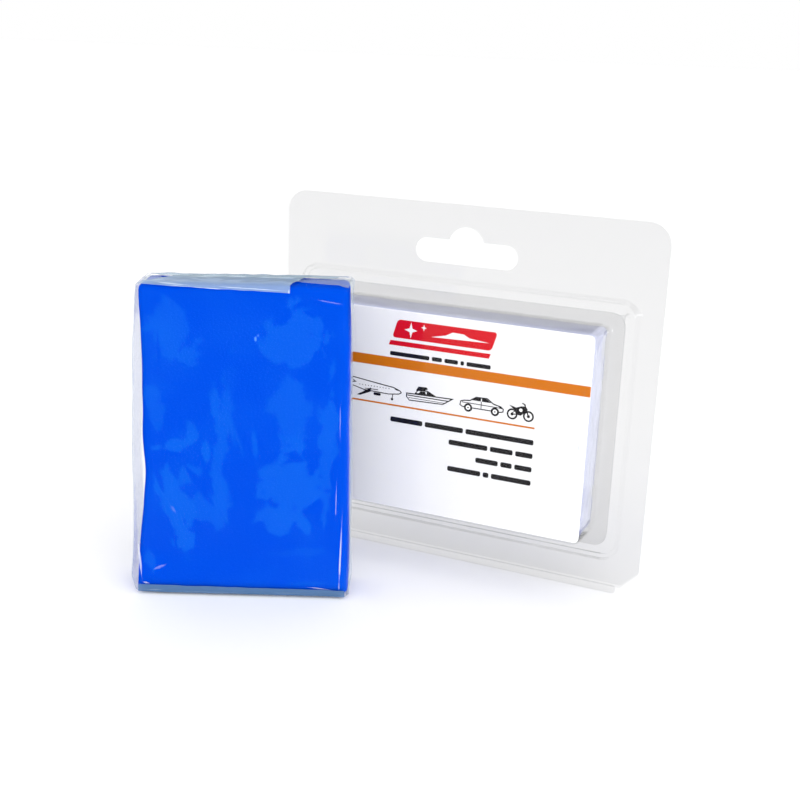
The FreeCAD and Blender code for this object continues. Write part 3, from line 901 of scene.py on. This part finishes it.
# plain drawings: airliner, speed boat, saloon car, motorbike
drawn = cardTop - cardLayout["drawings"]
planeAt = (-20.5, drawn)
boatAt, carAt = [(planeAt[0] + (k + 1) * cardLayout["drawingPitch"] + 2, drawn) for k in (0, 1)]
bikeAt = (carAt[0] + 11.5, drawn)
fuselage = [(-9.2, 2.8), (-8.3, 2.8), (-6.2, 1.2), (3.5, 1.5), (6.5, 1.2), (8.6, 0.5), (9.3, -0.2),
            (8.4, -0.8), (5.0, -1.3), (-3.0, -1.1), (-6.5, -0.3), (-8.9, 0.4), (-7.8, 0.8)]
wing = [(1.4, -0.3), (-0.9, -0.3), (-5.4, -2.8), (-4.2, -2.8)]
tailPlane = [(-6.9, 0.5), (-9.3, 0.0), (-8.6, -0.3), (-5.9, 0.1)]
hull = [(-7.4, 0.2), (7.6, 0.5), (4.2, -1.8), (-6.4, -2.1), (-7.4, -1.0)]
cabin = [(-4.8, 0.2), (-3.8, 1.5), (-0.8, 1.7), (2.0, 0.4)]
arch = [(-4.4, 1.2), (-3.6, 2.5), (-1.0, 2.6), (-0.6, 2.1), (-2.0, 1.4)]
carBody = [(-6.7, -0.9), (-6.5, 0.4), (-5.4, 0.8), (-3.6, 1.0), (-1.8, 2.2), (1.6, 2.3), (3.6, 1.0),
           (5.9, 0.5), (6.7, -0.2), (6.6, -1.1), (5.6, -1.4), (-5.8, -1.4)]
tank = [(-3.4, 1.5), (-1.2, 0.9), (0.2, 1.5), (1.5, 1.6), (2.2, 0.8), (1.2, -0.4), (0.2, -1.2),
        (-1.0, -1.1), (-1.7, 0.2)]
black = [moved(r, *planeAt) for r in (fuselage, wing, tailPlane)]
black += [moved(r, *boatAt) for r in (arch, cabin, hull)]
black += [moved(carBody, *carAt), moved(disc(-4.0, -1.3, 1.25), *carAt), moved(disc(4.1, -1.3, 1.25), *carAt)]
black += [moved(disc(-2.3, -1.1, 1.6), *bikeAt), moved(disc(2.5, -1.1, 1.6), *bikeAt), moved(tank, *bikeAt)]
for k, ring in enumerate(black):
    printed("cardDrawing%02d" % k, [ring], inkBlack, k % 3 * 0.3)
white = [moved(outlined(fuselage, 0.3), *planeAt)]
white += [moved(outlined(r, 0.32), *boatAt) for r in (cabin, hull)]
white += [moved(outlined(carBody, 0.32), *carAt)]
white += [moved(disc(-2.3, -1.1, 1.1), *bikeAt), moved(disc(2.5, -1.1, 1.1), *bikeAt)]
printed("cardDrawingWhite", white, inkWhite, 1.9)
fine = [moved(disc(-4.4 + 0.95 * k, 0.5, 0.16, 8), *planeAt) for k in range(11)]
fine += [moved(r, *planeAt) for r in (stroke(-2.6, -0.5, 1.6, -0.35), stroke(-3.0, -1.7, -0.6, -0.3, 0.6),
                                      bar(0.2, 2.5, -2.1, -1.3, 0, 0.35), stroke(6.4, -1.1, 6.2, -2.4),
                                      disc(6.2, -2.5, 0.38, 10), stroke(7.0, 0.7, 8.2, 0.35, 0.3))]
fine += [moved(r, *boatAt) for r in (stroke(-7.2, -0.5, 5.9, -0.45, 0.3), stroke(-6.6, -1.2, 4.9, -1.2, 0.16),
                                     [(-3.4, 0.5), (-2.9, 1.2), (-1.4, 1.3), (-1.2, 0.55)],
                                     [(-0.8, 0.6), (-1.0, 1.25), (-0.7, 1.3), (1.0, 0.62)])]
fine += [moved(r, *carAt) for r in ([(-3.1, 1.05), (-1.6, 1.95), (-0.25, 2.0), (-0.25, 1.05)],
                                    [(0.05, 1.05), (0.05, 2.0), (1.4, 2.0), (2.9, 1.05)],
                                    stroke(-0.1, 1.0, -0.1, -1.2, 0.22),
                                    stroke(-5.9, 0.1, 6.0, 0.0, 0.22), disc(-4.0, -1.3, 1.25),
                                    disc(4.1, -1.3, 1.25),
                                    [(5.2, 0.4), (6.2, 0.15), (6.2, -0.2), (5.4, -0.1)])]
fine += [moved(r, *bikeAt) for r in (disc(-2.3, -1.1, 0.45, 12), disc(2.5, -1.1, 0.45, 12),
                                     stroke(1.2, 2.2, 2.5, -1.1, 0.34),
                                     stroke(0.5, 2.5, 1.5, 2.0, 0.3), stroke(-2.3, -1.1, 0.2, -0.8, 0.3),
                                     stroke(-2.6, -1.0, -0.9, 0.4, 0.2))]
for k in range(4):
    printed("cardFine%d" % k, fine[k::4], inkBlack, 2.9 + k * 0.25)
hubs = [moved(disc(x, -1.3, 0.68, 14), *carAt) for x in (-4.0, 4.1)]
hubs += [moved(disc(0.2, 0.4, 0.5, 12), *bikeAt)]
printed("cardHubs", hubs, inkWhite, 4.1)
printed("cardHubDots", [moved(disc(x, -1.3, 0.24, 10), *carAt) for x in (-4.0, 4.1)], inkBlack, 5.1)
print("card printed")

stageLook = {"floor": 60.0, "white": (0.965, 0.965, 0.967, 1.0)}
bm = bmesh.new()
bmesh.ops.create_grid(bm, x_segments=2, y_segments=2, size=stageLook["floor"])
mesh = bpy.data.meshes.new("floor")
bm.to_mesh(mesh)
bm.free()
floor = bpy.data.objects.new("floor", mesh)
bpy.context.scene.collection.objects.link(floor)
floorPaint, tree = newMaterial("palePaper")
coords = addNode(tree, "ShaderNodeTexCoord")
drift = useGroup(tree, driftGroup, {"Broad": 2.0, "Fine": 300.0})
tree.links.new(coords.outputs["Object"], drift.inputs["Vector"])
paper = addNode(tree, "ShaderNodeBsdfPrincipled", {"Roughness": 0.7, "Specular IOR Level": 0.1})
tree.links.new(mixColour(tree, drift.outputs["Broad"], stageLook["white"], (0.97, 0.97, 0.972, 1.0)),
               paper.inputs["Base Color"])
out = addNode(tree, "ShaderNodeOutputMaterial")
tree.links.new(paper.outputs[0], out.inputs["Surface"])
floor.data.materials.append(floorPaint)

world = bpy.data.worlds.new("studio")
bpy.context.scene.world = world
world.use_nodes = True
sky = world.node_tree
sky.nodes["Background"].inputs[0].default_value = (1.0, 1.0, 1.0, 1.0)
sky.nodes["Background"].inputs[1].default_value = 1.0
# reflections see panels and gaps between them; everything else sees an even white room
room = addNode(sky, "ShaderNodeTexCoord")
panels = addNode(sky, "ShaderNodeTexNoise", {"Scale": 2.3, "Detail": 0.0})
sky.links.new(room.outputs["Generated"], panels.inputs["Vector"])
gaps = math2(sky, "MULTIPLY", math2(sky, "SUBTRACT", panels.outputs[0], 0.42), 9.0, clamp=True)
level = math2(sky, "ADD", 0.45, math2(sky, "MULTIPLY", gaps, 0.8))
seen = addNode(sky, "ShaderNodeBackground")
sky.links.new(level, seen.inputs["Strength"])
ray = addNode(sky, "ShaderNodeLightPath")
both = addNode(sky, "ShaderNodeMixShader")
sky.links.new(ray.outputs["Is Glossy Ray"], both.inputs[0])
sky.links.new(sky.nodes["Background"].outputs[0], both.inputs[1])
sky.links.new(seen.outputs[0], both.inputs[2])
sky.links.new(both.outputs[0], sky.nodes["World Output"].inputs[0])

lamps = [
    # name, kind, place, size, power, aims at
    ("skyLamp", "SUN", (0.35, -0.8, 0.9), 1.2, 0.62, (0.04, 0.0, 0.0)),
    ("fillPanel", "AREA", (0.45, -0.95, 0.16), (0.9, 0.22), 5.5, (0.06, 0.0, 0.06)),
]
for name, kind, place, size, power, aim in lamps:
    data = bpy.data.lights.new(name, kind)
    if kind == "SUN":
        data.angle = size
    else:
        data.shape = "RECTANGLE"
        data.size, data.size_y = size
    data.energy = power
    lamp = bpy.data.objects.new(name, data)
    lamp.location = place
    lamp.rotation_euler = (Vector(aim) - Vector(place)).to_track_quat("-Z", "Y").to_euler()
    bpy.context.scene.collection.objects.link(lamp)

shot = {"at": (43.68, -322.61, 150.43), "pitch": 16.06, "roll": 2.3, "lens": 54.25}
data = bpy.data.cameras.new("camera")
data.lens = shot["lens"]
data.sensor_width = 36
data.clip_start = 0.01
camera = bpy.data.objects.new("camera", data)
camera.matrix_world = (Matrix.Translation(Vector(shot["at"]) * mm)
                       @ Matrix.Rotation(math.radians(90 - shot["pitch"]), 4, "X")
                       @ Matrix.Rotation(math.radians(shot["roll"]), 4, "Z"))
bpy.context.scene.collection.objects.link(camera)
bpy.context.scene.camera = camera
bpy.context.scene.view_settings.view_transform = "Standard"
print("stage set")
